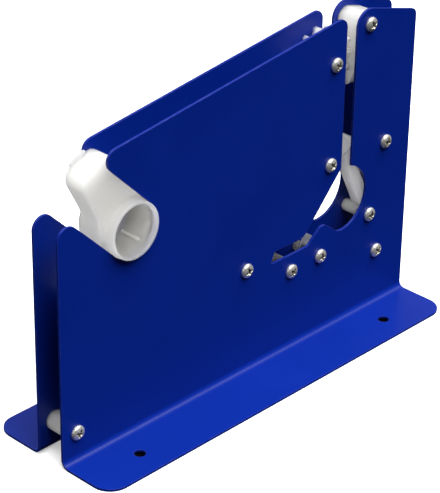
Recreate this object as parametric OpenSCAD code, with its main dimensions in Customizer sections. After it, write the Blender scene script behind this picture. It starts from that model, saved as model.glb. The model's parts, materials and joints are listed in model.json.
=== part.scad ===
// Bag neck sealer. Two bent steel side plates, held apart by sleeves and moulded blocks,
// carry a lift-out tape hub, a star wheel, a sprung press jaw and a trimming knife.
// X runs along the plates, Y across them and Z up. The origin is on the ground, in the middle.
// Places on the plates are given as x from their left edge and z from the ground.

/* [Side plates] */
// Length of the side plates
plate_len = 230; // [205:1:260]
// Thickness of the sheet steel
sheet_t = 1.2; // [0.8:0.1:2]
// Clear gap between the two plates
gap_w = 14; // [14:0.5:20]
// Height of the top edge beside the neck slot
top_h = 163.2; // [155:0.2:175]
// Fall of the top edge towards the tape hub, in degrees
top_fall = 6.9; // [3:0.1:9]
// Corner radius of the top edge beside the neck slot
top_r = 5; // [1:0.5:10]
// Corner radius of the nose above the hub seat
nose_r = 5.5; // [2:0.5:10]
// Corner radius of the tab below the hub seat
seat_tab_r = 6; // [2:0.5:10]
// How far the end tab stands over the top edge, before its corner is rounded
tab_step = 1.8; // [0:0.1:6]
// Fall of the end tab's top edge, in degrees
tab_fall = 16; // [6:0.5:22]
// Corner radius of the end tab beside the neck slot
tab_r = 8; // [2:0.5:12]
// Corner radius of the end tab at the end of the plate
tab_end_r = 4; // [1:0.5:10]

/* [Feet] */
// Width of a foot, from the plate's outer face
foot_w = 30; // [24:1:45]
// Corner radius of a foot
foot_r = 10; // [2:1:16]
// Inner radius of the bend between plate and foot
bend_r = 3; // [2:0.5:5]
// Diameter of the fixing holes
fix_d = 5.6; // [4:0.1:7]
// Fixing holes, from the ends of the plate
fix_inset = 31.5; // [20:0.5:45]
// Fixing holes, out from the plate's outer face
fix_out = 16; // [11:0.5:20]

/* [Neck slot and eye] */
// Left side of the neck slot, from the plate's right end
neck_back = 50; // [47:0.5:65]
// Width of the neck slot
neck_w = 7.4; // [6:0.1:9]
// Radius of the eye's round end
eye_r = 16.9; // [15:0.1:18]
// Middle of the eye's round end, right of the neck slot's left side
eye_dx = 2; // [1.2:0.1:4]
// Height of the middle of the eye's round end
eye_z = 68.2; // [64:0.2:74]
// Slope of the eye's left side, in degrees
eye_slope = 47.7; // [44:0.1:52]
// Radius where the eye's left side meets the trim slot
eye_side_r = 6; // [2:0.5:10]
// Length of the trim slot, left of the neck slot
trim_len = 47.8; // [42:0.2:54]
// Lower edge of the trim slot, above the bottom of the eye
trim_rise = 0.2; // [0.1:0.1:1]
// Height of the trim slot
trim_h = 6; // [5:0.1:8]
// Lean of the trim slot's closed end
trim_lean = 2.3; // [0:0.1:4]
// Upper corner radius of the trim slot's closed end
trim_top_r = 1.5; // [0.5:0.1:2.2]
// Lower corner radius of the trim slot's closed end
trim_low_r = 1; // [0.5:0.1:2.2]
// Rise of the hump on the trim slot's side, in degrees
hump_rise = 40; // [34:0.5:48]
// Fall of the hump on the eye's side, in degrees
hump_fall = 36.7; // [35:0.1:44]
// Height of the hump's peak over the trim slot, before it is rounded
hump_h = 8.5; // [7:0.1:10]
// Radius of the hump's peak
hump_r = 4.5; // [1:0.5:6]
// Radius at the hump's foot in the trim slot
hump_foot_r = 4; // [1:0.5:6]
// Radius at the hump's foot in the eye
hump_end_r = 6.5; // [1:0.5:8]

/* [Tape hub] */
// Middle of the hub, x
hub_x = 42.7; // [38:0.1:50]
// Middle of the hub, z
hub_z = 104.2; // [98:0.1:110]
// Outer diameter of the hub's tube
hub_d = 27.4; // [24:0.2:30]
// Wall of the hub's tube
hub_wall = 1.4; // [1:0.1:3]
// How far the tube stands out of each plate
hub_over = 3; // [2:0.5:6]
// Play between the tube and its seat
hub_play = 0.3; // [0.2:0.05:0.5]
// How much wider the round seat is cut than the way into it, on the radius
seat_relief = 0.1; // [0.05:0.05:0.3]
// Angle of the seat's open end, in degrees
seat_tilt = 45; // [38:0.5:52]
// Arms that carry the tape core
hub_arms = 3; // [2:1:4]
// Reach of an arm from the middle of the hub
arm_reach = 38.7; // [32:0.1:42]
// Width of an arm
arm_w = 21; // [16:0.2:22]
// Corner radius of an arm's end
arm_end_r = 6; // [3:0.5:7.5]
// Root radius between arm and tube
arm_root_r = 8; // [3:0.5:10]
// Angle of the first arm, in degrees
arm_angle = 117.5; // [90:0.5:150]
// Play between the arms and the plates
arm_play = 0.5; // [0.4:0.1:1]
// Height of the lip tab at the arms' rear edge
lip_h = 1.8; // [1:0.1:3]
// Width of the lip tab
lip_w = 9.8; // [6:0.2:12]
// Thickness of the lip tab
lip_t = 1.4; // [1:0.1:2]
// Height of the rib inside the tube
rib_h = 2; // [1:0.1:3]
// Width of the rib inside the tube
rib_w = 1.6; // [1:0.1:3]
// Length of the rib inside the tube
rib_len = 10.4; // [8:0.1:16]
// Angle of the rib inside the tube, in degrees
rib_angle = 308; // [280:1:330]

/* [Star wheel] */
// Axle of the star wheel, left of the neck slot
wheel_back = 7; // [6:0.1:12]
// Axle of the star wheel, below the top edge
wheel_drop = 22.2; // [18:0.2:26]
// Teeth of the star wheel
wheel_teeth = 12; // [8:1:12]
// Radius of the tooth tips
wheel_r = 15.4; // [13:0.1:16.5]
// Depth of the teeth
tooth_h = 4.6; // [3:0.1:5]
// Half width of a tooth's tip, in degrees
tooth_tip = 3.6; // [2:0.1:5]
// Half width of a tooth's root, in degrees
tooth_root = 12.5; // [9:0.1:14]
// Angle of the first tooth, in degrees
tooth_phase = 4; // [0:0.1:20]
// Width of the toothed rim
wheel_w = 10; // [8:0.5:12]
// Diameter of the wheel's boss
wheel_boss_d = 13; // [10:0.5:16]
// Play between the boss and the plates
boss_play = 0.4; // [0.3:0.1:0.8]
// Diameter of the axle sleeve
axle_d = 6; // [5.6:0.1:7]

/* [Top guide] */
// Screw of the top guide, right of the neck slot
guide_out = 8.9; // [7:0.1:11]
// Screw of the top guide, below the tab's edge
guide_drop = 7.9; // [7:0.1:12]
// Left face of the top guide, right of the neck slot
guide_step = 2.6; // [1.6:0.1:3.4]
// How far the guide's top lies below the tab's edge
guide_inset = 2.7; // [2:0.1:4]
// Length of the guide along the plate
guide_len = 16; // [14:0.5:20]
// Lower end of the guide's tongue, below the star wheel's axle
tongue_drop = 17.6; // [14:0.2:22]
// Width of the tongue's lower end, along the plate
tongue_len = 5; // [3:0.5:7]
// Thickness of the tongue's lower end, across the plates
tongue_t = 1.8; // [1:0.1:4]
// Where the tongue starts to taper, below the star wheel's axle
taper_drop = 4; // [1:0.5:7]
// Corner radius of the guide's top
guide_r = 6; // [3:0.5:8]

/* [Left guide and tape blade] */
// Screw of the left guide, left of the neck slot
left_back = 8.2; // [7.5:0.1:11]
// Screw of the left guide, above the eye
left_rise = 4.8; // [4:0.1:5.5]
// Right face of the left guide, left of the neck slot
left_step = 1; // [0.4:0.1:2]
// Length of the left guide along the plate
left_len = 16; // [14:0.5:20]
// Top of the left guide, above the eye
left_top_rise = 13.9; // [13:0.1:18]
// Lower right corner of the left guide, above the eye
left_low_rise = 2.9; // [2:0.1:5]
// Corner radius of the left guide beside the neck slot
left_r = 1.5; // [0.5:0.1:2]
// Corner radius of the left guide's back
left_back_r = 3; // [1:0.1:4]
// Thickness of the tape blade
tape_blade_t = 0.6; // [0.4:0.1:1]
// How deep the tape blade sits in the guide
tape_blade_seat = 7; // [5:0.5:7]
// How far the tape blade stands out of the guide
tape_blade_out = 6; // [4:0.5:8]
// Tape blade, back from the guide's right face
tape_blade_back = 2; // [1.4:0.1:2.4]
// Teeth along the tape blade
blade_teeth = 8; // [6:1:10]
// Depth of the tape blade's teeth
blade_tooth_h = 1.3; // [0.8:0.1:1.6]
// Play of the tape blade beside the plates
blade_play = 1; // [0.5:0.1:1.5]

/* [Press jaw] */
// Pivot of the jaw, right of the neck slot
jaw_out = 21.2; // [19:0.1:22]
// Pivot of the jaw, below the stop sleeve
jaw_drop = 22.4; // [20:0.1:26]
// Diameter of the jaw's pivot sleeve
jaw_pivot_d = 6; // [5.6:0.1:6.6]
// Diameter of the jaw's pivot boss
jaw_boss_d = 12.4; // [11:0.2:14]
// Thickness of the jaw's arm
jaw_t = 6; // [4:0.1:7]
// Left face of the jaw's pad, right of the neck slot
pad_step = 0.6; // [0.3:0.1:1.5]
// Top of the jaw's pad, above the middle of the eye
pad_rise = 29.6; // [26:0.1:34]
// Height of the pad at its full width
pad_h = 3.9; // [3:0.1:6]
// Height over which the pad widens
pad_flare = 7.2; // [5:0.1:9]
// Width of the pad's lower end
pad_foot_w = 3; // [2:0.1:4]
// Thickness of the pad
pad_t = 2.2; // [1.6:0.1:2.6]
// How deep the pad is moulded into the bar
pad_sink = 0.3; // [0.2:0.1:0.8]
// Play between the pad and the plates
pad_play = 0.6; // [0.5:0.1:1.5]
// Corner radius of the pad's top
pad_r = 1.8; // [1:0.1:2.4]
// Depth of the jaw's bar, along the plates
bar_t = 5.4; // [5:0.1:7]
// How far the bar ends below the pad's top
bar_drop = 4; // [3:0.1:6]
// How far the foot of the bar lies back from the pad's face
bar_back = 4.2; // [3:0.1:5]
// Shelf of the jaw, below the pad's top
shelf_drop = 18.2; // [16:0.1:20]
// Fall of the shelf
shelf_fall = 1.3; // [0.5:0.1:2.5]
// Right end of the shelf, from the pad's face
shelf_len = 10.4; // [9:0.1:12]
// Radius of the bends in the jaw's left side
jaw_bend_r = 6; // [2:0.5:8]
// Stop sleeve of the jaw, right of the neck slot
stop_out = 14.8; // [13.6:0.1:15.4]
// Stop sleeve of the jaw, below the middle of the eye
stop_drop = 15.6; // [14:0.1:17]
// Diameter of the stop sleeve
stop_d = 6.2; // [5:0.1:7]
// Gap between the jaw and its stop
stop_gap = 0.35; // [0.3:0.05:0.5]

/* [Jaw spring] */
// Post of the jaw's spring, right of the neck slot
post_out = 24.3; // [22:0.1:28]
// Post of the jaw's spring, above the middle of the eye
post_rise = 20.8; // [18:0.1:26]
// Diameter of the spring's post
post_d = 6; // [5:0.1:7]
// Spring peg on the jaw, right of the pivot
peg_dx = 14.3; // [12:0.1:15.5]
// Spring peg on the jaw, above the pivot
peg_dz = 5.5; // [3:0.1:8]
// Diameter of the spring peg
peg_d = 2.8; // [2.4:0.1:3]
// Middle of the spring across the plates
spring_y = 2.8; // [2.6:0.1:3]
// Mean radius of the spring's coils
spring_r = 2.2; // [2:0.1:2.4]
// Diameter of the spring's wire
spring_wire = 0.8; // [0.7:0.05:0.9]
// Turns of the spring
spring_turns = 18; // [12:1:20]

/* [Trim catch] */
// Pin of the catch, left of the neck slot
catch_back = 13.1; // [11:0.1:15]
// Pin of the catch, below the trim slot
catch_drop = 8.6; // [7.5:0.1:10]
// Diameter of the catch's pin
catch_pin_d = 5.5; // [5.4:0.1:5.8]
// Diameter of the catch's ring
catch_ring_d = 8; // [7.6:0.1:8.4]
// Width of the catch across the plates
catch_w = 4.8; // [4:0.1:5]
// Lean of the catch's finger from upright, in degrees
catch_lean = 18; // [10:1:40]
// Reach of the finger from the pin
finger_reach = 8.4; // [7:0.1:11]
// Thickness of the finger
finger_t = 2; // [1.6:0.1:2.2]
// Diameter of the catch spring's wire
catch_wire = 0.5; // [0.4:0.05:0.55]
// Pitch of the catch spring's coils
catch_pitch = 1; // [0.98:0.01:1.05]

/* [Trimming knife] */
// Lower screw of the knife holder, left of the neck slot
holder_back = 33.6; // [32:0.1:36]
// Lower screw of the knife holder, below the trim slot
holder_drop = 8.9; // [8:0.1:10]
// Upper screw of the knife holder, left of the lower one
holder_dx = 30.9; // [29:0.1:36]
// Upper screw of the knife holder, above the lower one
holder_dz = 12.4; // [10:0.1:15]
// Width of the knife holder
holder_w = 9.4; // [8.6:0.1:10.6]
// Thickness of the trimming blade
trim_blade_t = 0.6; // [0.4:0.1:1]
// How far the trimming blade stands out of its holder
trim_blade_out = 6.3; // [4:0.1:9]
// Where the trimming blade leaves its holder, from the end of the blade
trim_heel = 3.5; // [2:0.1:5]
// Where the trimming blade reaches its full height, from the end of the blade
trim_tip = 12.5; // [9:0.1:14]
// Length of the trimming blade at its full height
trim_tip_len = 5.5; // [2:0.1:7]
// Margin between the trimming blade and the holder's sides
trim_margin = 1.5; // [1:0.1:2]

/* [Screws and sleeves] */
// Diameter of the screws' shanks
screw_d = 3.5; // [3:0.1:3.6]
// Diameter of the screws' heads
head_d = 7.2; // [6.4:0.1:8]
// Height of the screws' heads
head_h = 3.2; // [2.2:0.1:3.6]
// Straight edge of the screws' heads
head_rim = 1.1; // [0.4:0.1:1.4]
// Length of the cross recess
recess_len = 4; // [3:0.1:5]
// Width of the cross recess
recess_w = 1; // [0.6:0.1:1.4]
// Depth of the cross recess
recess_h = 1.5; // [1:0.1:1.8]
// How deep a screw goes into its sleeve
screw_depth = 5; // [4:0.5:6]
// Corner sleeve, from the left edge
corner_x = 8.7; // [7:0.1:12]
// Corner sleeve, from the ground
corner_z = 15.4; // [13:0.1:20]
// Diameter of the corner sleeve
corner_d = 9.5; // [8:0.1:10]
// Clearance of a screw in its holes
screw_play = 0.1; // [0.05:0.05:0.2]
// Clearance of a moving piece on its sleeve, on the radius
run_play = 0.05; // [0.03:0.01:0.1]

/* [Hidden] */
$fn = 64;

paint = "#0b1f7a";
nylon = "#f2f2ee";
steel = "#b9bcc0";
inner = gap_w / 2;
outer = inner + sheet_t;
bend_z = sheet_t + bend_r;
arc_step = 6;
cut = 1;

neck_x = plate_len - neck_back;
neck_right = neck_x + neck_w;
tab_h = top_h + tab_step;
eye_x = neck_x + eye_dx;
eye_top = eye_z + eye_r;
eye_bottom = eye_z - eye_r;
trim_x = neck_x - trim_len;
trim_z = eye_bottom + trim_rise;
trim_top = trim_z + trim_h;
guide_face = neck_right + guide_step;
left_face = neck_x - left_step;
left_top = eye_top + left_top_rise;
left_low = eye_top + left_low_rise;
pad_x = neck_right + pad_step;
pad_top = eye_z + pad_rise;

// Places of the ten screws
hub_at = [hub_x, hub_z];
wheel_at = [neck_x - wheel_back, top_h - wheel_drop];
guide_at = [neck_right + guide_out, tab_at(neck_right + guide_out) - guide_drop];
post_at = [neck_right + post_out, eye_z + post_rise];
left_at = [neck_x - left_back, eye_top + left_rise];
stop_at = [neck_right + stop_out, eye_z - stop_drop];
jaw_at = [neck_right + jaw_out, stop_at.y - jaw_drop];
catch_at = [neck_x - catch_back, trim_z - catch_drop];
holder_at = [neck_x - holder_back, trim_z - holder_drop];
holder_end = holder_at + [-holder_dx, holder_dz];
corner_at = [corner_x, corner_z];
screws = [wheel_at, guide_at, post_at, left_at, stop_at, jaw_at, catch_at, holder_at, holder_end,
    corner_at];
peg_at = jaw_at + [peg_dx, peg_dz];

// Corners of the plate that follow from its edges
seat_r = hub_d / 2 + hub_play;
seat_out = [-cos(seat_tilt), sin(seat_tilt)];
seat_up = [sin(seat_tilt), cos(seat_tilt)];
seat_high = hub_at + seat_r * seat_up;
seat_low = hub_at - seat_r * seat_up;
nose_run = (top_at(seat_high.x) - seat_high.y) / (seat_out.y - seat_out.x * tan(top_fall));
nose = seat_high + nose_run * seat_out;
seat_tab = [0, seat_low.y + seat_low.x * tan(seat_tilt)];
eye_side_x = neck_x - (eye_top - trim_top) / tan(eye_slope);
hump_land = 0.05;
hump_end = eye_x - hump_end_r * tan(hump_fall / 2) - hump_land;
hump_top = trim_z + hump_h;
hump_peak = [hump_end - (hump_top - eye_bottom) / tan(hump_fall), hump_top];
hump_x = hump_peak.x - hump_h / tan(hump_rise);

function top_at(x) = top_h - (neck_x - x) * tan(top_fall);
function tab_at(x) = tab_h - (x - neck_right) * tan(tab_fall);
function unit(v) = v / norm(v);
function polar(r, a) = r * [cos(a), sin(a)];
function turn(a) = a - 360 * round(a / 360);

// One corner of an outline as an arc of radius r that touches both its sides
function corner(a, p, b, r) =
    let (
        u = unit(a - p),
        v = unit(b - p),
        half = acos(u * v) / 2,
        c = p + unit(u + v) * r / sin(half),
        from = p + u * r / tan(half) - c,
        to = p + v * r / tan(half) - c,
        start = atan2(from.y, from.x),
        sweep = turn(atan2(to.y, to.x) - start),
        steps = ceil(abs(sweep) / arc_step)
    )
    [for (i = [0:steps]) c + polar(r, start + sweep * i / steps)];

// Outline through corners [x, z, radius], with the radius left out on a sharp corner
function rounded(points) =
    let (n = len(points))
    [for (i = [0:n - 1])
        let (
            p = points[i],
            r = is_undef(p[2]) ? 0 : p[2],
            at = [p.x, p.y],
            a = points[(i + n - 1) % n],
            b = points[(i + 1) % n]
        )
        each r == 0 ? [at] : corner([a.x, a.y], at, [b.x, b.y], r)];

// Puts plate places into the part's frame
module on_plate() {
    translate([-plate_len / 2, 0, 0]) children();
}

// Extrudes an outline drawn in x and z across the plates
module slab(y0, y1) {
    on_plate() translate([0, y1, 0]) rotate([90, 0, 0]) linear_extrude(y1 - y0) children();
}

// Extrudes an outline drawn in y and z along the plates
module run(x0, x1) {
    on_plate() translate([x0, 0, 0]) rotate([90, 0, 90]) linear_extrude(x1 - x0) children();
}

// Round bar across the plates
module bar(at, r, y0, y1) {
    on_plate() translate([at.x, y1, at.y]) rotate([90, 0, 0]) cylinder(h = y1 - y0, r = r);
}

module screw_bore(at) {
    bar(at, (screw_d + screw_play) / 2, -outer - cut, outer + cut);
}

// Sleeve that holds the plates apart
module sleeve(at, d) {
    difference() {
        bar(at, d / 2, -inner, inner);
        screw_bore(at);
    }
}

// Tube along points, one solid, with six sides
module wire(points, d) {
    sides = 6;
    n = len(points);
    ahead = [for (i = [0:n - 1]) unit(points[min(i + 1, n - 1)] - points[max(i - 1, 0)])];
    across = [for (i = [0:n - 1]) unit(cross(ahead[i], wire_up(ahead[i])))];
    rings = [for (i = [0:n - 1], k = [0:sides - 1])
        let (a = 360 * k / sides, w = cross(ahead[i], across[i]))
        points[i] + d / 2 * (cos(a) * across[i] + sin(a) * w)];
    skin = [for (i = [0:n - 2], k = [0:sides - 1])
        let (a = i * sides + k, b = i * sides + (k + 1) % sides)
        each [[a, a + sides, b], [b, a + sides, b + sides]]];
    caps = [for (k = [1:sides - 2])
        let (e = (n - 1) * sides)
        each [[0, k, k + 1], [e, e + k + 1, e + k]]];
    on_plate() polyhedron(points = rings, faces = concat(skin, caps), convexity = 6);
}

function wire_up(v) = abs(v.y) > 0.9 ? [0, 0, 1] : [0, 1, 0];

// Outer outline of a side plate, above its bend
module plate_outline() {
    polygon(rounded([
        [0, bend_z],
        [plate_len, bend_z],
        [plate_len, tab_at(plate_len), tab_end_r],
        [neck_right, tab_h, tab_r],
        [neck_right, eye_z],
        [neck_x, eye_z],
        [neck_x, top_h, top_r],
        [nose.x, nose.y, nose_r],
        seat_high,
        seat_low,
        [seat_tab.x, seat_tab.y, seat_tab_r]
    ]));
}

// Eye, the trim slot that runs out of it, and the hump between them
module eye_outline() {
    lead = 1;
    polygon(rounded(concat(
        [
            [neck_x + lead, eye_top + lead * tan(eye_slope)],
            [eye_side_x, trim_top, eye_side_r],
            [trim_x + trim_lean, trim_top, trim_top_r],
            [trim_x, trim_z, trim_low_r],
            [hump_x, trim_z, hump_foot_r],
            [hump_peak.x, hump_peak.y, hump_r],
            [hump_end, eye_bottom, hump_end_r]
        ],
        [for (a = [-90:arc_step:90]) [eye_x, eye_z] + polar(eye_r, a)]
    )));
}

// Section of the bend between plate and foot
module bend_section() {
    translate([-outer - bend_r, bend_z]) intersection() {
        difference() {
            circle(bend_r + sheet_t);
            circle(bend_r);
        }
        translate([0, -bend_r - sheet_t]) square(bend_r + sheet_t);
    }
}

module foot() {
    y0 = -outer - foot_w;
    y1 = -outer - bend_r;
    linear_extrude(sheet_t) polygon(rounded([
        [-plate_len / 2, y1],
        [-plate_len / 2, y0, foot_r],
        [plate_len / 2, y0, foot_r],
        [plate_len / 2, y1]
    ]));
}

module side_plate() {
    difference() {
        union() {
            slab(-outer, -inner) plate_outline();
            run(0, plate_len) bend_section();
            foot();
        }
        slab(-outer - cut, -inner + cut) eye_outline();
        bar(hub_at, seat_r + seat_relief, -outer - cut, -inner + cut);
        for (at = screws) {
            bar(at, (screw_d + screw_play) / 2, -outer - cut, -inner + cut);
        }
        for (side = [-1, 1]) {
            translate([side * (plate_len / 2 - fix_inset), -outer - fix_out, -cut])
                cylinder(h = sheet_t + 2 * cut, d = fix_d);
        }
    }
}

module front_plate() {
    color(paint) side_plate();
}

module rear_plate() {
    color(paint) mirror([0, 1, 0]) side_plate();
}

// One arm of the hub, along x, with root fillets that run into the tube
module hub_arm(reach) {
    half = arm_w / 2;
    tube_r = hub_d / 2;
    root_sink = 0.03;
    root_z = half + arm_root_r - root_sink;
    root = [sqrt((tube_r + arm_root_r - root_sink) ^ 2 - root_z ^ 2), root_z];
    translate([0, -half]) square([reach - arm_end_r, arm_w]);
    translate([0, arm_end_r - half]) square([reach, arm_w - 2 * arm_end_r]);
    for (side = [-1, 1]) {
        translate([reach - arm_end_r, side * (half - arm_end_r)]) circle(arm_end_r);
    }
    for (side = [0, 1]) {
        mirror([0, side]) difference() {
            polygon([[0, 0], [root.x, 0], root]);
            translate(root) circle(arm_root_r);
        }
    }
}

// Puts what is drawn along x on every arm
module on_arms() {
    translate(hub_at) for (k = [0:hub_arms - 1]) {
        rotate(arm_angle + 360 * k / hub_arms) children();
    }
}

module tape_hub() {
    face = inner - arm_play;
    end = outer + hub_over;
    bore_r = hub_d / 2 - hub_wall;
    color(nylon) {
        difference() {
            union() {
                bar(hub_at, hub_d / 2, -end, end);
                slab(-face, face) on_arms() hub_arm(arm_reach);
                slab(face - lip_t, face) on_arms() translate([arm_reach - arm_w / 2, -lip_w / 2])
                    square([arm_w / 2 + lip_h, lip_w]);
            }
            difference() {
                bar(hub_at, bore_r, -end - cut, end + cut);
                slab(-rib_len / 2, rib_len / 2) translate(hub_at) rotate(rib_angle)
                    translate([bore_r - rib_h, -rib_w / 2]) square([rib_h + hub_wall, rib_w]);
            }
        }
    }
}

module star_outline() {
    step = 360 / wheel_teeth;
    root_r = wheel_r - tooth_h;
    translate(wheel_at) polygon([for (k = [0:wheel_teeth - 1])
        let (a = tooth_phase + k * step)
        each [
            polar(root_r, a - tooth_root),
            polar(wheel_r, a - tooth_tip),
            polar(wheel_r, a + tooth_tip),
            polar(root_r, a + tooth_root)
        ]]);
}

module star_wheel() {
    boss = inner - boss_play;
    color(nylon) difference() {
        union() {
            slab(-wheel_w / 2, wheel_w / 2) star_outline();
            bar(wheel_at, wheel_boss_d / 2, -boss, boss);
        }
        bar(wheel_at, axle_d / 2 + run_play, -inner - cut, inner + cut);
    }
}

module wheel_axle() {
    color(steel) sleeve(wheel_at, axle_d);
}

// The guide's side follows the end tab, and its tongue narrows towards the neck slot
module top_guide() {
    right = guide_face + guide_len;
    tongue_z = wheel_at.y - tongue_drop;
    taper_z = wheel_at.y - taper_drop;
    tip_r = 0.3;
    back_r = 2;
    shoulder_r = 4;
    shoulder = [guide_face + tongue_len + 2, taper_z + 3];
    color(nylon) difference() {
        intersection() {
            slab(-inner, inner) polygon(rounded([
                [guide_face, tongue_z, tip_r],
                [guide_face + tongue_len, tongue_z, tip_r],
                [shoulder.x, shoulder.y, shoulder_r],
                [right, shoulder.y + back_r, back_r],
                [right, tab_at(right) - guide_inset, back_r],
                [guide_face, tab_at(guide_face) - guide_inset, guide_r]
            ]));
            run(guide_face - cut, right + cut) polygon([
                [-tongue_t / 2, tongue_z - cut],
                [tongue_t / 2, tongue_z - cut],
                [tongue_t / 2, tongue_z],
                [inner, taper_z],
                [inner, tab_h],
                [-inner, tab_h],
                [-inner, taper_z],
                [-tongue_t / 2, tongue_z]
            ]);
        }
        screw_bore(guide_at);
    }
}

blade_x = left_face - tape_blade_back;
blade_half = inner - blade_play;

module left_guide() {
    seat = tape_blade_t + screw_play;
    back = left_face - left_len;
    back_fall = 3;
    belly_fall = 7.5;
    color(nylon) difference() {
        slab(-inner, inner) polygon(rounded([
            [left_face, left_low, left_r],
            [left_face, left_top, left_r],
            [back, left_top, left_back_r],
            [back, left_low - back_fall, left_back_r],
            [(left_face + back) / 2, left_low - belly_fall, left_back_r]
        ]));
        screw_bore(left_at);
        run(blade_x - seat, blade_x) translate([-blade_half - screw_play, left_top - tape_blade_seat])
            square([2 * (blade_half + screw_play), tape_blade_seat + cut]);
    }
}

module tape_blade() {
    low = left_top - tape_blade_seat;
    high = left_top + tape_blade_out - blade_tooth_h;
    step = 2 * blade_half / blade_teeth;
    color(steel) run(blade_x - tape_blade_t - screw_play / 2, blade_x - screw_play / 2) polygon(concat(
        [[blade_half, low], [-blade_half, low]],
        [for (k = [0:blade_teeth - 1])
            each [
                [-blade_half + k * step, high],
                [-blade_half + (k + 0.5) * step, high + blade_tooth_h]
            ]],
        [[blade_half, high]]
    ));
}

// Side of the jaw: pad, bar, slanting arm and the web to the pivot boss
module jaw_outline() {
    boss_r = jaw_boss_d / 2;
    shelf_z = pad_top - shelf_drop;
    bar_x = pad_x + pad_t - pad_sink;
    bend_rise = 3;
    over_stop = [-1, 4.6];
    under_stop = [2, -4];
    waist = 2.2;
    waist_r = 8;
    web_rise = 2;
    shelf_end_r = 1.5;
    shelf_r = 1;
    bar_top_r = 2;
    polygon(rounded([
        [bar_x, pad_top - bar_drop],
        [bar_x, shelf_z + bend_rise, jaw_bend_r],
        [pad_x + bar_back, shelf_z - bend_rise, jaw_bend_r],
        stop_at + over_stop,
        stop_at + under_stop,
        jaw_at + [-boss_r, web_rise],
        jaw_at,
        jaw_at + [boss_r, web_rise],
        [jaw_at.x + waist, stop_at.y, waist_r],
        [pad_x + shelf_len, shelf_z - shelf_fall, shelf_end_r],
        [pad_x + bar_t, shelf_z, shelf_r],
        [pad_x + bar_t, pad_top - bar_drop, bar_top_r]
    ]));
    translate(jaw_at) circle(boss_r);
}

// Ear of the jaw that carries the spring's peg
module ear_outline() {
    ear_wall = 2;
    ear_r = peg_d / 2 + ear_wall;
    root_half = jaw_boss_d / 2 - 1;
    tip_half = ear_r - 0.2;
    translate(peg_at) circle(ear_r);
    polygon([
        jaw_at + [0, root_half],
        jaw_at - [0, root_half],
        peg_at - [0, tip_half],
        peg_at + [0, tip_half]
    ]);
}

module press_jaw() {
    half = jaw_t / 2;
    pad_half = inner - pad_play;
    ear_y = spring_y - spring_r - spring_wire - 0.1;
    peg_over = 1;
    flare_r = 2;
    color(nylon) difference() {
        union() {
            slab(-half, half) jaw_outline();
            slab(-half, ear_y) ear_outline();
            bar(peg_at, peg_d / 2, -half, spring_y + spring_wire + peg_over);
            run(pad_x, pad_x + pad_t) polygon(rounded([
                [-pad_foot_w / 2, pad_top - pad_h - pad_flare],
                [pad_foot_w / 2, pad_top - pad_h - pad_flare],
                [pad_half, pad_top - pad_h, flare_r],
                [pad_half, pad_top, pad_r],
                [-pad_half, pad_top, pad_r],
                [-pad_half, pad_top - pad_h, flare_r]
            ]));
        }
        bar(jaw_at, jaw_pivot_d / 2 + run_play, -inner, inner);
        bar(stop_at, stop_d / 2 + stop_gap, -inner, inner);
    }
}

module jaw_pivot() {
    color(steel) sleeve(jaw_at, jaw_pivot_d);
}

module stop_sleeve() {
    color(nylon) sleeve(stop_at, stop_d);
}

module spring_post() {
    color(nylon) sleeve(post_at, post_d);
}

// Jaw spring: a loop round the peg, the coils, and a loop round the post
spring_gap = 0.4;
spring_len = norm(post_at - peg_at);
spring_dir = unit(post_at - peg_at);
peg_loop = (peg_d + spring_wire) / 2 + spring_gap;
post_loop = (post_d + spring_wire) / 2 + spring_gap;
loop_lead = 3;
coil_from = peg_loop + loop_lead;
coil_to = spring_len - post_loop - loop_lead;
coil_steps = 8;
loop_steps = 10;
loop_arc = 260;

function spring_point(side, depth, along) =
    let (p = peg_at + along * spring_dir + side * [spring_dir.y, -spring_dir.x])
    [p.x, spring_y + depth, p.y];

spring_path = concat(
    [for (i = [0:loop_steps])
        let (a = -loop_arc + loop_arc * i / loop_steps)
        spring_point(peg_loop * cos(a), 0, peg_loop * sin(a))],
    [for (i = [0:spring_turns * coil_steps])
        let (a = 360 * i / coil_steps, t = i / (spring_turns * coil_steps))
        spring_point(spring_r * cos(a), spring_r * sin(a), coil_from + (coil_to - coil_from) * t)],
    [for (i = [0:loop_steps])
        let (a = loop_arc * i / loop_steps)
        spring_point(post_loop * cos(a), 0, spring_len + post_loop * sin(a))]
);

module jaw_spring() {
    color(steel) wire(spring_path, spring_wire);
}

// Catch: a ring on its pin, a leaning finger, and a peg for its spring
finger_inset = 0.4;
finger_r = 0.8;
finger_v = catch_ring_d / 2 - finger_inset;
catch_coil_r = finger_v;
catch_peg_r = 0.7;
catch_peg_gap = 0.1;
catch_dir = [sin(catch_lean), cos(catch_lean)];
catch_side = [-catch_dir.y, catch_dir.x];
catch_peg_at = catch_at + 0.65 * finger_reach * catch_dir
    + (catch_coil_r - catch_wire / 2 - catch_peg_gap - catch_peg_r) * catch_side;

module trim_catch() {
    half = catch_w / 2;
    color(nylon) difference() {
        union() {
            bar(catch_at, catch_ring_d / 2, -half, half);
            slab(-half, half) polygon(rounded([
                catch_at + (finger_v - finger_t) * catch_side,
                concat(catch_at + finger_reach * catch_dir + (finger_v - finger_t) * catch_side, finger_r),
                concat(catch_at + finger_reach * catch_dir + finger_v * catch_side, finger_r),
                catch_at + finger_v * catch_side
            ]));
            bar(catch_peg_at, catch_peg_r, -half - 2 * catch_pitch, half);
        }
        bar(catch_at, catch_pin_d / 2 + run_play, -inner, inner);
    }
}

module catch_pin() {
    color(nylon) sleeve(catch_at, catch_pin_d);
}

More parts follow.
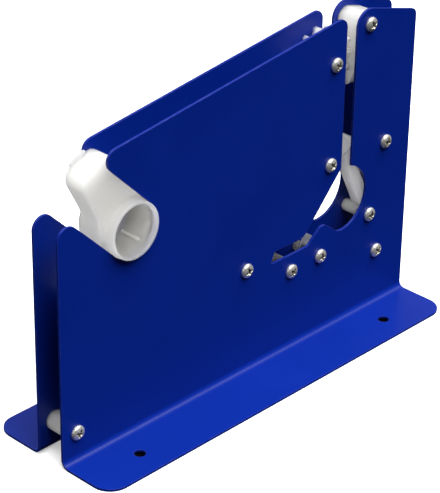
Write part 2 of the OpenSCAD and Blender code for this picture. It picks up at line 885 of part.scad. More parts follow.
// Catch spring: a leg on the knife holder, the coils, and a leg against the catch's peg
catch_rest = 0.15;
catch_turns = 3;
catch_sweep = -(360 * catch_turns - (90 - catch_lean));
catch_coil_steps = 34;
catch_end_y = -catch_w / 2 - catch_pitch;
catch_start_y = catch_end_y - catch_pitch * abs(catch_sweep) / 360;
catch_foot = 1.5;
catch_leg_end = holder_at + [catch_foot, holder_w / 2 + catch_wire / 2 + catch_rest];
catch_leg = 0.8 * finger_reach;

function catch_points(steps) = concat(
    [[catch_leg_end.x, catch_start_y, catch_leg_end.y]],
    [for (i = [0:steps])
        let (
            t = i / steps,
            p = catch_at + polar(catch_coil_r, 90 + catch_sweep * t)
        )
        [p.x, catch_start_y + (catch_end_y - catch_start_y) * t, p.y]],
    [for (u = [0.5, 1])
        let (p = catch_at + catch_coil_r * catch_side + u * catch_leg * catch_dir)
        [p.x, catch_end_y, p.y]]
);

module catch_spring() {
    color(steel) wire(catch_points(catch_coil_steps), catch_wire);
}

// Least gap of a wire to itself, between points that are more than half a turn apart
function self_gap(points, apart, d) =
    min([for (i = [0:len(points) - 1], j = [i + apart:1:len(points) - 1]) norm(points[i] - points[j])]) - d;

// Knife holder: two halves of one bar, with the trimming blade between them
holder_run = norm(holder_end - holder_at);
holder_turn = atan2(holder_end.y - holder_at.y, holder_end.x - holder_at.x);

module holder_half(y0, y1) {
    r = holder_w / 2;
    color(nylon) difference() {
        slab(y0, y1) translate(holder_at) rotate(holder_turn) {
            translate([0, -r]) square([holder_run, holder_w]);
            circle(r);
            translate([holder_run, 0]) circle(r);
        }
        screw_bore(holder_at);
        screw_bore(holder_end);
    }
}

module knife_holder_front() {
    holder_half(-inner, -trim_blade_t / 2);
}

module knife_holder_rear() {
    holder_half(trim_blade_t / 2, inner);
}

// The blade's slanted edge stands across the closed end of the trim slot
module trim_blade() {
    r = holder_w / 2;
    root = screw_d + 1;
    end = holder_run - root;
    side = r - trim_margin;
    top = r + trim_blade_out;
    color(steel) slab(-trim_blade_t / 2, trim_blade_t / 2) translate(holder_at) rotate(holder_turn)
        mirror([0, 1]) polygon([
            [root, -side],
            [end, -side],
            [end, side],
            [root + trim_tip + trim_tip_len, top],
            [root + trim_tip, top],
            [root + trim_heel, r],
            [root, side]
        ]);
}

module corner_sleeve() {
    color(nylon) sleeve(corner_at, corner_d);
}

// Pan head screw along z, with its seat at the origin and a cross recess
module screw() {
    rise = head_h - head_rim;
    dome_r = (head_d * head_d / 4 + rise * rise) / (2 * rise);
    difference() {
        intersection() {
            cylinder(h = head_h, d = head_d);
            translate([0, 0, head_h - dome_r]) sphere(dome_r);
        }
        for (a = [0, 90]) {
            rotate(a) translate([-recess_len / 2, -recess_w / 2, head_h - recess_h])
                cube([recess_len, recess_w, head_h]);
        }
    }
    translate([0, 0, -sheet_t - screw_depth]) cylinder(h = sheet_t + screw_depth, d = screw_d);
}

// One screw at every place on the front plate, each stopped at another angle
module screw_set(first_turn) {
    turn_step = 40;
    on_plate() for (i = [0:len(screws) - 1]) {
        translate([screws[i].x, -outer, screws[i].y]) rotate([90, 0, 0])
            rotate(first_turn + turn_step * i) screw();
    }
}

module front_screws() {
    color(steel) screw_set(25);
}

module rear_screws() {
    color(steel) mirror([0, 1, 0]) screw_set(10);
}

catch_fine = 360;
echo(jaw_spring_self_gap = self_gap(spring_path, coil_steps / 2 + 1, spring_wire));
echo(catch_spring_self_gap = self_gap(catch_points(catch_fine), catch_fine / catch_turns / 2, catch_wire));

front_plate();
rear_plate();
tape_hub();
star_wheel();
wheel_axle();
top_guide();
left_guide();
tape_blade();
press_jaw();
jaw_pivot();
stop_sleeve();
spring_post();
jaw_spring();
trim_catch();
catch_pin();
catch_spring();
knife_holder_front();
knife_holder_rear();
trim_blade();
corner_sleeve();
front_screws();
rear_screws();
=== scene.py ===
import itertools
import json
import math

import bpy
import numpy as np
from mathutils import Matrix, Vector


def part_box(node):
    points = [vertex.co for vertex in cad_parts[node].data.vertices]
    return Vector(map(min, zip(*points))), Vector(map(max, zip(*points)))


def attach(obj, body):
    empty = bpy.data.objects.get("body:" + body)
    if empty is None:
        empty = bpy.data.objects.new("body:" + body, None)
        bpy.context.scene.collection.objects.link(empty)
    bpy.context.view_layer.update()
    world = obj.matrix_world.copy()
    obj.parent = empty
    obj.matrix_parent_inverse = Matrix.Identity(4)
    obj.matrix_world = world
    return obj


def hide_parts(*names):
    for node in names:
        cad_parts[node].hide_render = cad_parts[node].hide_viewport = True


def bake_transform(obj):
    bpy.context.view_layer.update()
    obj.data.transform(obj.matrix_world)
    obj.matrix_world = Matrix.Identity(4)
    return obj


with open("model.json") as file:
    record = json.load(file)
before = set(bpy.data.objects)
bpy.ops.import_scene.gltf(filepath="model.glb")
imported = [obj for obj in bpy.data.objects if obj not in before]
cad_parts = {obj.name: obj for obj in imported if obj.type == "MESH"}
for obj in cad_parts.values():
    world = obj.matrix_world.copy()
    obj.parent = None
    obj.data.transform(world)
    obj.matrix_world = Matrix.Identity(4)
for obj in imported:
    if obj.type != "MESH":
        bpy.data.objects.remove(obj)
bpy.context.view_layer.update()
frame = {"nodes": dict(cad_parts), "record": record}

MM = 0.001
nodes = frame["nodes"]


# Camera, from the straight edges and foot holes of the photograph
def make_camera():
    yaw, pitch, roll = 0.8063, 0.5022, 0.0160
    eye = Vector((-626.05, -591.94, 537.68)) * MM
    ahead = Vector((math.sin(yaw) * math.cos(pitch), math.cos(yaw) * math.cos(pitch), -math.sin(pitch)))
    right = Vector((math.cos(yaw), -math.sin(yaw), 0.0))
    up = right.cross(ahead)
    side = right * math.cos(roll) + up * math.sin(roll)
    top = up * math.cos(roll) - right * math.sin(roll)
    data = bpy.data.cameras.new("camera")
    data.sensor_fit = "AUTO"
    data.sensor_width = 36.0
    data.lens = 2123.70 * 36.0 / 493.0
    data.clip_start = 0.05
    data.clip_end = 20.0
    cam = bpy.data.objects.new("camera", data)
    turn = Matrix((side, top, -ahead)).transposed().to_4x4()
    cam.matrix_world = Matrix.Translation(eye) @ turn
    bpy.context.scene.collection.objects.link(cam)
    bpy.context.scene.camera = cam


# Node helpers
class Tree:
    def __init__(self, name):
        self.mat = bpy.data.materials.new(name)
        self.mat.use_nodes = True
        self.nodes = self.mat.node_tree.nodes
        self.links = self.mat.node_tree.links
        self.shader = self.nodes["Principled BSDF"]
        self.place = self.add("ShaderNodeTexCoord").outputs["Object"]

    def add(self, kind, **values):
        made = self.nodes.new(kind)
        for key, value in values.items():
            setattr(made, key, value)
        return made

    def set(self, **values):
        for key, value in values.items():
            self.shader.inputs[key.replace("_", " ")].default_value = value

    def join(self, a, b):
        self.links.new(a, b)

    def noise(self, scale, detail=2.0, rough=0.5, stretch=None):
        tex = self.add("ShaderNodeTexNoise")
        tex.inputs["Scale"].default_value = scale
        tex.inputs["Detail"].default_value = detail
        tex.inputs["Roughness"].default_value = rough
        place = self.place
        if stretch:
            mapping = self.add("ShaderNodeMapping")
            mapping.inputs["Scale"].default_value = stretch
            self.join(place, mapping.inputs["Vector"])
            place = mapping.outputs["Vector"]
        self.join(place, tex.inputs["Vector"])
        return tex.outputs["Fac"]

    def ramp(self, fac, stops):
        ramp = self.add("ShaderNodeValToRGB")
        points = ramp.color_ramp.elements
        while len(points) < len(stops):
            points.new(0.5)
        for point, (at, colour) in zip(points, stops):
            point.position = at
            point.color = (*colour, 1.0)
        self.join(fac, ramp.inputs["Fac"])
        return ramp.outputs["Color"]

    def span(self, fac, low, high, lowest=0.0, highest=1.0):
        made = self.add("ShaderNodeMapRange")
        made.inputs["From Min"].default_value = lowest
        made.inputs["From Max"].default_value = highest
        made.inputs["To Min"].default_value = low
        made.inputs["To Max"].default_value = high
        self.join(fac, made.inputs["Value"])
        return made.outputs["Result"]

    # How worn a place is: rubbed at the edges, in patches; on the blue paint it also places painted
    # highlight along the edges
    def edge_wear_and_highlight(self, radius, scale):
        bevel = self.add("ShaderNodeBevel", samples=6)
        bevel.inputs["Radius"].default_value = radius
        flat = self.add("ShaderNodeNewGeometry").outputs["Normal"]
        turn = self.add("ShaderNodeVectorMath", operation="DOT_PRODUCT")
        self.join(bevel.outputs["Normal"], turn.inputs[0])
        self.join(flat, turn.inputs[1])
        edge = self.span(turn.outputs["Value"], 1.0, 0.0, 0.80, 0.99)
        both = self.add("ShaderNodeMath", operation="MULTIPLY")
        self.join(edge, both.inputs[0])
        self.join(self.span(self.noise(scale, 3.0, 0.6), 0.0, 1.0, 0.35, 0.65), both.inputs[1])
        return both.outputs["Value"]

    # How hollow a place is, for painted shade that darkens recesses
    def recess_shade(self, reach):
        made = self.add("ShaderNodeAmbientOcclusion", samples=8, only_local=True)
        made.inputs["Distance"].default_value = reach
        return self.span(made.outputs["AO"], 1.0, 0.0, 0.45, 0.92)

    def mixed(self, fac, colour, other):
        made = self.add("ShaderNodeMix", data_type="RGBA")
        self.join(fac, made.inputs["Factor"])
        self.join(colour, made.inputs[6])
        made.inputs[7].default_value = (*other, 1.0)
        return made.outputs[2]

    def bump(self, height, strength, distance, under=None):
        made = self.add("ShaderNodeBump")
        made.inputs["Strength"].default_value = strength
        made.inputs["Distance"].default_value = distance
        self.join(height, made.inputs["Height"])
        if under is not None:
            self.join(under, made.inputs["Normal"])
        return made.outputs["Normal"]


def blue_paint():
    t = Tree("blue_paint")
    cloud = t.ramp(t.noise(18.0, 3.0), [
        (0.30, (0.0010, 0.0150, 0.212)), (0.70, (0.0016, 0.0172, 0.238)),
    ])
    # Lighter violet edges: partly worn paint, partly painted highlight where light catches the edges
    worn_and_highlit = t.edge_wear_and_highlight(0.0005, 260.0)
    t.join(t.mixed(worn_and_highlit, cloud, (0.075, 0.085, 0.360)), t.shader.inputs["Base Color"])
    t.join(t.span(t.noise(900.0, 2.0), 0.30, 0.36), t.shader.inputs["Roughness"])
    peel = t.bump(t.noise(1400.0, 2.0), 0.06, 0.00012)
    t.join(t.bump(t.noise(3800.0, 1.0), 0.04, 0.00006, peel), t.shader.inputs["Normal"])
    t.set(Specular_IOR_Level=0.18)
    return t.mat


def white_nylon():
    t = Tree("white_nylon")
    cloud = t.ramp(t.noise(30.0, 3.0), [
        (0.30, (0.765, 0.745, 0.690)), (0.70, (0.795, 0.780, 0.730)),
    ])
    worn_and_highlit = t.edge_wear_and_highlight(0.0004, 180.0)
    t.join(t.mixed(worn_and_highlit, cloud, (0.93, 0.93, 0.91)), t.shader.inputs["Base Color"])
    t.join(t.span(t.noise(500.0, 2.0), 0.34, 0.46), t.shader.inputs["Roughness"])
    t.join(t.bump(t.noise(900.0, 2.0), 0.12, 0.00008), t.shader.inputs["Normal"])
    t.set(Subsurface_Weight=1.0, Subsurface_Scale=0.034, Subsurface_Radius=(1.0, 1.0, 1.0), IOR=1.53)
    t.set(Specular_IOR_Level=0.4)
    return t.mat


def steel(name, dark, light, rough, stretch, grain, metal=1.0, recess_shade_colour=None):
    t = Tree(name)
    lines = t.noise(grain, 3.0, 0.6, stretch)
    cloud = t.ramp(lines, [(0.30, dark), (0.70, light)])
    if recess_shade_colour:
        # Recesses darkened towards olive black: painted shade
        cloud = t.mixed(t.recess_shade(0.0016), cloud, recess_shade_colour)
    worn_and_highlit = t.edge_wear_and_highlight(0.0002, 400.0)
    t.join(t.mixed(worn_and_highlit, cloud, tuple(0.5 + 0.5 * v for v in light)), t.shader.inputs["Base Color"])
    t.join(t.span(lines, rough[0], rough[1], 0.3, 0.7), t.shader.inputs["Roughness"])
    t.join(t.bump(lines, 0.15, 0.00005), t.shader.inputs["Normal"])
    t.set(Metallic=metal)
    return t.mat


materials = {
    "blue_paint": blue_paint(),
    "white_nylon": white_nylon(),
    "sleeve_steel": steel(
        "sleeve_steel", dark=(0.48, 0.48, 0.49), light=(0.66, 0.66, 0.67), rough=(0.26, 0.40),
        stretch=(1.0, 12.0, 1.0), grain=260.0,
    ),
    "screw_steel": steel(
        "screw_steel", dark=(0.66, 0.64, 0.58), light=(0.80, 0.78, 0.72), rough=(0.24, 0.36),
        stretch=None, grain=700.0, metal=0.72, recess_shade_colour=(0.10, 0.095, 0.06),
    ),
    "blade_steel": steel(
        "blade_steel", dark=(0.50, 0.51, 0.53), light=(0.70, 0.71, 0.73), rough=(0.22, 0.36),
        stretch=(1.0, 1.0, 14.0), grain=320.0,
    ),
    "spring_steel": steel(
        "spring_steel", dark=(0.40, 0.41, 0.43), light=(0.58, 0.59, 0.61), rough=(0.24, 0.38),
        stretch=None, grain=900.0,
    ),
}


def dress(obj, slot):
    obj.data.materials.clear()
    obj.data.materials.append(materials[slot])
    for face in obj.data.polygons:
        face.material_index = 0


# Rounds the sharp edges of a CAD node, without changing its mesh
def soften(obj, width, segments=2):
    weld = obj.modifiers.new("weld", "WELD")
    weld.merge_threshold = 0.000004
    flat = obj.modifiers.new("flat", "DECIMATE")
    flat.decimate_type = "DISSOLVE"
    flat.angle_limit = math.radians(0.5)
    bevel = obj.modifiers.new("bevel", "BEVEL")
    bevel.limit_method = "ANGLE"
    bevel.angle_limit = math.radians(30.0)
    bevel.width = width
    bevel.segments = segments
    bevel.use_clamp_overlap = True
    bevel.harden_normals = False
    normals = obj.modifiers.new("normals", "WEIGHTED_NORMAL")
    normals.keep_sharp = False
    for face in obj.data.polygons:
        face.use_smooth = True


for part in frame["record"]["subparts"]:
    dress(nodes[part["node"]], part["material_slot"])

for name, width in (
    ("front_plate", 0.30), ("rear_plate", 0.30), ("star_wheel", 0.30), ("top_guide", 0.45),
    ("left_guide", 0.40), ("press_jaw", 0.45), ("trim_catch", 0.30), ("knife_holder_front", 0.40),
    ("knife_holder_rear", 0.40), ("stop_sleeve", 0.25), ("spring_post", 0.25),
    ("catch_pin", 0.25), ("corner_sleeve", 0.30), ("wheel_axle", 0.20), ("jaw_pivot", 0.20),
    ("tape_blade", 0.08), ("trim_blade", 0.08),
):
    soften(nodes[name], width * MM)


# Smooth solids from distance fields, in millimetres
def join(a, b, soft):
    mix = np.clip(0.5 + 0.5 * (b - a) / soft, 0.0, 1.0)
    return b + (a - b) * mix - soft * mix * (1.0 - mix)


def cut(a, b, soft):
    return -join(-a, -b, soft)


# Points and faces of the surface where a field is zero
def skin(field, low, high, step):
    axes = [np.arange(a, b + step, step) for a, b in zip(low, high)]
    inside = field(*np.meshgrid(*axes, indexing="ij")) < 0.0
    n = inside.shape
    full = sum(
        inside[i:n[0] - 1 + i, j:n[1] - 1 + j, k:n[2] - 1 + k].astype(int)
        for i, j, k in itertools.product((0, 1), repeat=3)
    )
    live = (full > 0) & (full < 8)
    index = np.zeros(live.shape, int)
    index[live] = np.arange(live.sum())
    points = np.array(low) + (np.argwhere(live) + 0.5) * step
    quads = []
    for e in range(3):
        u, v = np.eye(3, dtype=int)[(e + 1) % 3], np.eye(3, dtype=int)[(e + 2) % 3]
        at = np.argwhere(np.diff(inside, axis=e))
        here = inside[tuple(at.T)]
        ring = np.stack([index[tuple((at - step_back).T)] for step_back in (0 * u, u, u + v, v)], 1)
        ring[~here] = ring[~here][:, ::-1]
        quads.append(ring)
    quads = np.concatenate(quads)
    for turn in range(6):
        if turn in (1, 3):
            points = evened(points, quads)
        points = settled(points, field, step)
    return points, quads


def evened(points, quads):
    total, count = np.zeros_like(points), np.zeros((len(points), 1))
    for k in range(4):
        a, b = quads[:, k], quads[:, (k + 1) % 4]
        np.add.at(total, a, points[b])
        np.add.at(total, b, points[a])
        np.add.at(count, a, 1.0)
        np.add.at(count, b, 1.0)
    return 0.5 * points + 0.5 * total / count


def settled(points, field, step):
    d = field(*points.T)
    e = 0.02
    slope = np.stack([
        (field(*(points + e * axis).T) - field(*(points - e * axis).T)) / (2.0 * e) for axis in np.eye(3)
    ], 1)
    move = np.clip(d / np.maximum((slope ** 2).sum(1), 0.2), -0.5 * step, 0.5 * step)
    return points - move[:, None] * slope


def solid(name, points, faces, slot_name):
    mesh = bpy.data.meshes.new(name)
    mesh.from_pydata((np.asarray(points) * MM).tolist(), [], [list(map(int, f)) for f in faces])
    mesh.validate()
    for face in mesh.polygons:
        face.use_smooth = True
    obj = bpy.data.objects.new(name, mesh)
    bpy.context.scene.collection.objects.link(obj)
    dress(obj, slot_name)
    return obj


def joint_place(name):
    for joint in frame["record"]["behaviour"]["joints"]:
        if joint["name"] == name:
            return np.array(joint["pos_m"]) / MM


# Coordinates along and across a direction in the plane of the plates
def turned_to(x, z, degrees):
    a = math.radians(degrees)
    return x * math.cos(a) + z * math.sin(a), z * math.cos(a) - x * math.sin(a)


def brick(u, v, w, half_u, half_v, half_w):
    return np.maximum(np.maximum(np.abs(u) - half_u, np.abs(v) - half_v), np.abs(w) - half_w)


# Tape hub: a tube with three arms, a rib in its bore and a lip tab on each arm
def hub_field(x, y, z):
    tube_r, tube_half, bore_r = 13.7, 11.2, 12.3
    root_r, near_y, far_y = 13.2, -5.6, 6.5
    first_arm, arm_reach, arm_half, arm_round = 117.5, 32.7, 4.4, 6.0
    seat_r, plate_y = 13.9, 6.6
    r = np.hypot(x, z)
    tube = cut(r - tube_r, np.abs(y) - tube_half, 0.6)
    plan, lips = r - root_r, None
    for k in range(3):
        s, t = turned_to(x, z, first_arm + 120.0 * k)
        over_s, over_t = s - arm_reach, np.abs(t) - arm_half
        side = np.hypot(np.maximum(over_s, 0.0), np.maximum(over_t, 0.0)) - arm_round
        side = np.maximum(side + np.minimum(np.maximum(over_s, over_t), 0.0), -s)
        plan = join(plan, side, 9.0)
        lip = brick(s - 35.0, t, y - 5.8, 5.5, 4.9, 0.7)
        lips = lip if lips is None else np.minimum(lips, lip)
    arms = cut(cut(plan, near_y - y, 1.5), y - far_y, 0.8)
    # The blend at the arms' roots is wide in front and narrow behind
    wide, narrower, from_y, over_y = 3.4, 2.6, 2.0, 3.5
    body = join(tube, arms, wide - narrower * np.clip((y - from_y) / over_y, 0.0, 1.0))
    body = join(body, cut(lips, lips - 0.1, 0.3), 0.5)
    # Beside the plates and beyond, only the tube is left
    body = cut(body, np.where(np.abs(y) > plate_y, r - seat_r, -5.0), 0.2)
    body = cut(body, bore_r - r, 0.5)
    s, t = turned_to(x, z, 308.0)
    return join(body, brick(s - 11.8, t, y, 1.5, 0.8, 5.2), 0.5)


def make_hub():
    at = joint_place("hub_spin")
    # The grid's start keeps its planes off the hub's flat faces
    points, quads = skin(hub_field, (-44.1, -12.07, -44.17), (44.0, 12.2, 44.0), 0.6)
    hub = solid("hub_moulding", points + at, quads, "white_nylon")
    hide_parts("tape_hub")
    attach(hub, "hub")


# Pan head with a tapered cross recess, its seat at y = 0 and its crown towards -y
def head_field(x, y, z):
    h = -y
    r = np.hypot(x, z)
    head_r, tall, rise, recess_deep = 3.6, 2.6, 1.5, 1.9
    dome = (head_r ** 2 + rise ** 2) / (2.0 * rise)
    ball = np.sqrt(r ** 2 + (h - tall + dome) ** 2) - dome
    body = cut(cut(r - head_r, ball, 0.5), -h, 0.3)
    depth = tall - h
    wide = 0.62 - 0.10 * depth
    reach = 2.3 - 0.62 * depth
    cross = np.minimum(
        np.maximum(np.abs(x) - wide, (np.abs(z) - reach) * 0.8),
        np.maximum(np.abs(z) - wide, (np.abs(x) - reach) * 0.8),
    )
    well = (r - (1.25 - 0.45 * depth)) * 0.9
    recess = np.maximum(join(cross, well, 0.3), depth - recess_deep)
    return cut(body, -recess, 0.16)


# Ringed shank with a pointed end, its top inside the head
def shank(length, r, turns):
    sides, groove, steps = 20, 0.25, turns * 2
    rings = [(0.4, r)]
    rings += [(-length * (0.1 + 0.8 * k / steps), r if k % 2 else r - groove) for k in range(steps + 1)]
    rings.append((-length, 0.5 * r))
    points = [
        (ring_r * math.cos(2 * math.pi * i / sides), -y, ring_r * math.sin(2 * math.pi * i / sides))
        for y, ring_r in rings for i in range(sides)
    ]
    faces = [
        (j * sides + i, (j + 1) * sides + i, (j + 1) * sides + (i + 1) % sides, j * sides + (i + 1) % sides)
        for j in range(len(rings) - 1) for i in range(sides)
    ]
    faces.append(tuple(range(sides)))
    faces.append(tuple(reversed([(len(rings) - 1) * sides + i for i in range(sides)])))
    return np.array(points), faces


# Screw places on the plates, from the middle of the part
screw_places = (
    (58.0, 141.0), (81.3, 154.55), (96.7, 89.0), (56.8, 89.9), (87.2, 52.6),
    (93.6, 30.2), (51.9, 42.9), (31.4, 42.6), (0.5, 55.0), (-106.3, 15.4),
)


def make_screws(name, side, first_turn):
    head, head_faces = skin(head_field, (-4.03, -3.57, -4.06), (4.0, 0.4, 4.0), 0.2)
    stem, stem_faces = shank(6.0, 1.75, 5)
    plate_out = 8.2
    points, faces = [], []
    for i, (x, z) in enumerate(screw_places):
        a = math.radians(first_turn + 40.0 * i)
        c, s = math.cos(a), math.sin(a)
        turned = np.array([[c, 0.0, s], [0.0, 1.0, 0.0], [-s, 0.0, c]])
        for shape, shape_faces in ((head, head_faces), (stem, stem_faces)):
            first = sum(len(p) for p in points)
            put = shape @ turned.T + np.array([0.0, -plate_out, 0.0])
            put = put * np.array([1.0, side, 1.0]) + np.array([x, 0.0, z])
            points.append(put)
            for face in shape_faces:
                order = face if side > 0 else face[::-1]
                faces.append([first + int(v) for v in order])
    screws = solid(name + "_pieces", np.concatenate(points), faces, "screw_steel")
    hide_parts(name)
    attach(screws, "frame")


# Round wire along points, with rounded ends
def wire(name, path, d, slot_name, sides=10):
    path = np.array(path)
    ahead = np.gradient(path, axis=0)
    ahead /= np.linalg.norm(ahead, axis=1)[:, None]
    across = np.cross(ahead[0], (0.0, 1.0, 0.0) if abs(ahead[0][1]) < 0.9 else (1.0, 0.0, 0.0))
    rings = []
    count = len(path)
    for i, (p, t) in enumerate(zip(path, ahead)):
        across = across - t * np.dot(across, t)
        across /= np.linalg.norm(across)
        up = np.cross(t, across)
        r = d / 2 * (0.6 if i in (0, count - 1) else 1.0)
        rings.append([
            p + r * (math.cos(2 * math.pi * k / sides) * across + math.sin(2 * math.pi * k / sides) * up)
            for k in range(sides)
        ])
    faces = [
        (j * sides + k, j * sides + (k + 1) % sides, (j + 1) * sides + (k + 1) % sides, (j + 1) * sides + k)
        for j in range(count - 1) for k in range(sides)
    ]
    faces.append(tuple(reversed(range(sides))))
    faces.append(tuple((count - 1) * sides + k for k in range(sides)))
    return solid(name, np.concatenate(rings), faces, slot_name)


def eased(path, rounds):
    path = np.array(path)
    for _ in range(rounds):
        inner = np.stack([0.75 * path[:-1] + 0.25 * path[1:], 0.25 * path[:-1] + 0.75 * path[1:]], 1)
        path = np.concatenate([path[:1], inner.reshape(-1, 3), path[-1:]])
    return path


# Jaw spring: a hook on the jaw's peg, the coils, and a hook on the frame's post
def make_jaw_spring():
    peg = joint_place("jaw_swing") + np.array((14.3, 0.0, 5.5))
    low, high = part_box("spring_post")
    post = (np.array(low) + np.array(high)) / 2.0 / MM
    along = np.array((post[0] - peg[0], 0.0, post[2] - peg[2]))
    length = np.linalg.norm(along)
    along /= length
    side = np.array((along[2], 0.0, -along[0]))
    depth = np.array((0.0, 1.0, 0.0))
    base = np.array((peg[0], 2.8, peg[2]))
    turns, coil_r, wire_d, play, lead = 18, 2.2, 0.8, 0.4, 3.0
    peg_r, post_r = 1.4 + play + wire_d / 2.0, 3.0 + play + wire_d / 2.0
    first, last = peg_r + lead, length - post_r - lead
    hook, hook_steps, coil_steps = 260.0, 24, 20

    def put(s, t, a):
        return base + s * side + t * depth + a * along

    path = []
    for i in range(hook_steps + 1):
        a = math.radians(-hook + hook * i / hook_steps)
        path.append(put(peg_r * math.cos(a), 0.0, peg_r * math.sin(a)))
    for i in range(turns * coil_steps + 1):
        a = 2.0 * math.pi * i / coil_steps
        up = first + (last - first) * i / (turns * coil_steps)
        path.append(put(coil_r * math.cos(a), coil_r * math.sin(a), up))
    for i in range(hook_steps + 1):
        a = math.radians(hook * i / hook_steps)
        path.append(put(post_r * math.cos(a), 0.0, length + post_r * math.sin(a)))
    spring = wire("jaw_spring_wire", eased(path, 1), wire_d, "spring_steel")
    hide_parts("jaw_spring")
    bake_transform(spring)


# Catch spring: a leg on the knife holder, three coils round the ring, a leg against the catch's peg
def make_catch_spring():
    at = joint_place("catch_swing")
    lean = math.radians(18.0)
    finger = np.array((math.sin(lean), 0.0, math.cos(lean)))
    side = np.array((-finger[2], 0.0, finger[0]))
    coil_r, wire_d, pitch = 3.6, 0.5, 1.0
    sweep = -(1080.0 - (90.0 - 18.0))
    last = -2.4 - pitch
    first = last - pitch * abs(sweep) / 360.0
    path = [np.array((31.4 + 1.5, first, 42.6 + 4.7 + 0.25 + 0.15))]
    steps = 80
    for i in range(steps + 1):
        a = math.radians(90.0 + sweep * i / steps)
        path.append(np.array((
            at[0] + coil_r * math.cos(a), first + (last - first) * i / steps, at[2] + coil_r * math.sin(a)
        )))
    for u in (0.5, 1.0):
        path.append(np.array((at[0], last, at[2])) + coil_r * side + u * 0.8 * 8.4 * finger)
    spring = wire("catch_spring_wire", path, wire_d, "spring_steel")
    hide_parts("catch_spring")
    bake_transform(spring)


make_hub()
make_screws("front_screws", 1.0, 25.0)
make_screws("rear_screws", -1.0, 10.0)
make_jaw_spring()
make_catch_spring()


# Bench top, drilled under the four fixing holes of the feet; the wells are near black, painted shade
def make_floor():
    t = Tree("floor")
    colour = t.ramp(t.noise(3.0, 2.0), [(0.3, (0.96, 0.96, 0.96)), (0.7, (0.99, 0.99, 0.99))])
    t.join(colour, t.shader.inputs["Base Color"])
    t.set(Roughness=0.9, Specular_IOR_Level=0.1)
    t.set(Emission_Color=(1.0, 1.0, 1.0, 1.0), Emission_Strength=0.4)
    # Near-black well colour: painted shade inside the holes
    dark = Tree("painted_shade_wells")
    shade = dark.ramp(dark.noise(400.0), [(0.3, (0.010, 0.009, 0.008)), (0.7, (0.020, 0.018, 0.016))])
    dark.join(shade, dark.shader.inputs["Base Color"])
    dark.set(Roughness=0.9, Specular_IOR_Level=0.0)
    mount = frame["record"]["mounts"][0]["dims"]
    half_x, half_y = mount["spacing_x_mm"] / 2.0, mount["spacing_y_mm"] / 2.0
    rim, drill_r, deep, far = 8.0, mount["hole_r_mm"] + 1.2, 24.0, 6000.0
    xs = (-far, -half_x - rim, -half_x + rim, half_x - rim, half_x + rim, far)
    ys = (-far, -half_y - rim, -half_y + rim, half_y - rim, half_y + rim, far)
    points, faces, painted_shade_wells = [], [], []
    for i in range(5):
        for j in range(5):
            first = len(points)
            if i in (1, 3) and j in (1, 3):
                x, y = (xs[i] + xs[i + 1]) / 2.0, (ys[j] + ys[j + 1]) / 2.0
                n = 32
                for k in range(n):
                    c, s = math.cos(2 * math.pi * k / n), math.sin(2 * math.pi * k / n)
                    reach = rim / max(abs(c), abs(s))
                    points += [
                        (x + reach * c, y + reach * s, 0.0), (x + drill_r * c, y + drill_r * s, 0.0),
                        (x + drill_r * c, y + drill_r * s, -deep),
                    ]
                for k in range(n):
                    p, q = first + 3 * k, first + 3 * ((k + 1) % n)
                    faces += [(p, q, q + 1, p + 1), (p + 1, q + 1, q + 2, p + 2)]
                    painted_shade_wells.append(len(faces) - 1)
                faces.append(tuple(first + 3 * k + 2 for k in range(n)))
                painted_shade_wells.append(len(faces) - 1)
            else:
                points += [
                    (xs[i], ys[j], 0.0), (xs[i + 1], ys[j], 0.0),
                    (xs[i + 1], ys[j + 1], 0.0), (xs[i], ys[j + 1], 0.0),
                ]
                faces.append((first, first + 1, first + 2, first + 3))
    mesh = bpy.data.meshes.new("floor")
    mesh.from_pydata((np.array(points) * MM).tolist(), [], faces)
    mesh.materials.append(t.mat)
    mesh.materials.append(dark.mat)
    for k in painted_shade_wells:
        mesh.polygons[k].material_index = 1
    floor = bpy.data.objects.new("floor", mesh)
    floor.location = (0.0, 0.0, -0.0002)
    floor.visible_glossy = False
    floor.visible_diffuse = False
    floor.visible_shadow = False
    bpy.context.scene.collection.objects.link(floor)


# Pale backdrop behind the object, seen only in its gloss
def make_backdrop():
    mat = bpy.data.materials.new("backdrop")
    mat.use_nodes = True
    shader = mat.node_tree.nodes["Principled BSDF"]
    shader.inputs["Base Color"].default_value = (0.0, 0.0, 0.0, 1.0)
    shader.inputs["Specular IOR Level"].default_value = 0.0
    shader.inputs["Emission Color"].default_value = (1.0, 1.0, 1.0, 1.0)
    shader.inputs["Emission Strength"].default_value = 0.38
    centre = Vector((0.60, 0.62, 0.50)) * 2.0
    facing = (-centre).to_track_quat("Z", "Y").to_matrix()
    across, high = 1.2, 0.8
    corners = [
        facing @ Vector((i * across, j * high, 0.0)) + centre
        for i, j in ((-1, -1), (1, -1), (1, 1), (-1, 1))
    ]
    mesh = bpy.data.meshes.new("backdrop")
    mesh.from_pydata([tuple(v) for v in corners], [], [(0, 1, 2, 3)])
    mesh.materials.append(mat)
    card = bpy.data.objects.new("backdrop", mesh)
    card.visible_camera = False
    card.visible_diffuse = False
    card.visible_shadow = False
    card.visible_transmission = False
    bpy.context.scene.collection.objects.link(card)


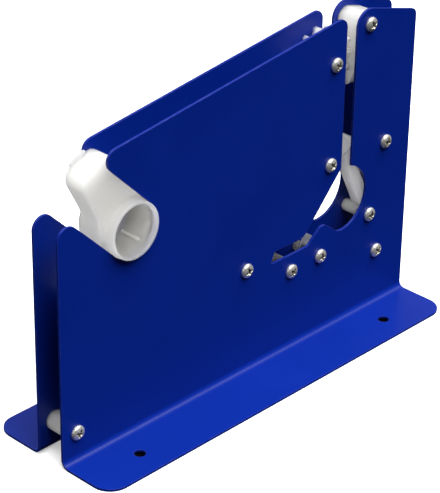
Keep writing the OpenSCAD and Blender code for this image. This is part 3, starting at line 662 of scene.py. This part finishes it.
# Wide soft light from far away, so that it falls evenly on the floor
def soft_light(name, towards, spread, power):
    data = bpy.data.lights.new(name, "SUN")
    data.angle = math.radians(spread)
    data.energy = power
    lamp = bpy.data.objects.new(name, data)
    lamp.location = Vector(towards).normalized() * 2.0
    lamp.rotation_mode = "QUATERNION"
    lamp.rotation_quaternion = (-Vector(towards)).to_track_quat("-Z", "Y")
    bpy.context.scene.collection.objects.link(lamp)
    return lamp


# Light that falls on some pieces alone
def fill_light(name, towards, spread, power, pieces):
    lamp = soft_light(name, towards, spread, power)
    lit = bpy.data.collections.new(name)
    for obj in pieces:
        lit.objects.link(obj)
    lamp.light_linking.receiver_collection = lit


# Leaves pieces in the shade of a light
def keep_off(lamp, pieces):
    unlit = bpy.data.collections.new(lamp.name + "_off")
    for obj in pieces:
        unlit.objects.link(obj)
    for entry in unlit.collection_objects:
        entry.light_linking.link_state = "EXCLUDE"
    lamp.light_linking.receiver_collection = unlit


def make_light():
    world = bpy.data.worlds.new("world")
    world.use_nodes = True
    back = world.node_tree.nodes["Background"]
    back.inputs["Color"].default_value = (1.0, 1.0, 1.0, 1.0)
    back.inputs["Strength"].default_value = 0.02
    bpy.context.scene.world = world
    top = soft_light("top", (0.10, -0.44, 1.0), 55.0, 5.5)
    soft_light("front", (0.63, -0.10, 0.77), 45.0, 0.9)
    soft_light("left", (-1.0, 0.10, 0.55), 50.0, 0.7)
    soft_light("back", (0.15, 0.85, 0.50), 60.0, 1.5)
    nylon = materials["white_nylon"]
    white = [
        obj for obj in bpy.data.objects
        if obj.type == "MESH" and nylon in list(obj.data.materials) and "knife" not in obj.name
    ]
    deep = [nodes[name] for name in ("top_guide", "press_jaw", "stop_sleeve", "catch_pin")]
    fill_light("deep_fill", (-0.63, -0.62, 0.48), 30.0, 3.2, deep)
    fill_light("low_fill", (0.75, -0.40, -0.35), 50.0, 0.65, white)
    hub = bpy.data.objects["hub_moulding"]
    fill_light("side_fill", (-0.92, -0.15, -0.35), 50.0, 0.8, [obj for obj in white if obj is not hub])
    fill_light("bore_fill", (-0.70, -0.40, 0.35), 40.0, 2.5, [hub])
    fill_light("white_top", (0.0, -0.10, 1.0), 55.0, 3.3, white)
    keep_off(top, white + [nodes["knife_holder_front"], nodes["knife_holder_rear"]])
    bpy.context.scene.view_settings.view_transform = "Standard"


make_camera()
make_floor()
make_backdrop()
make_light()
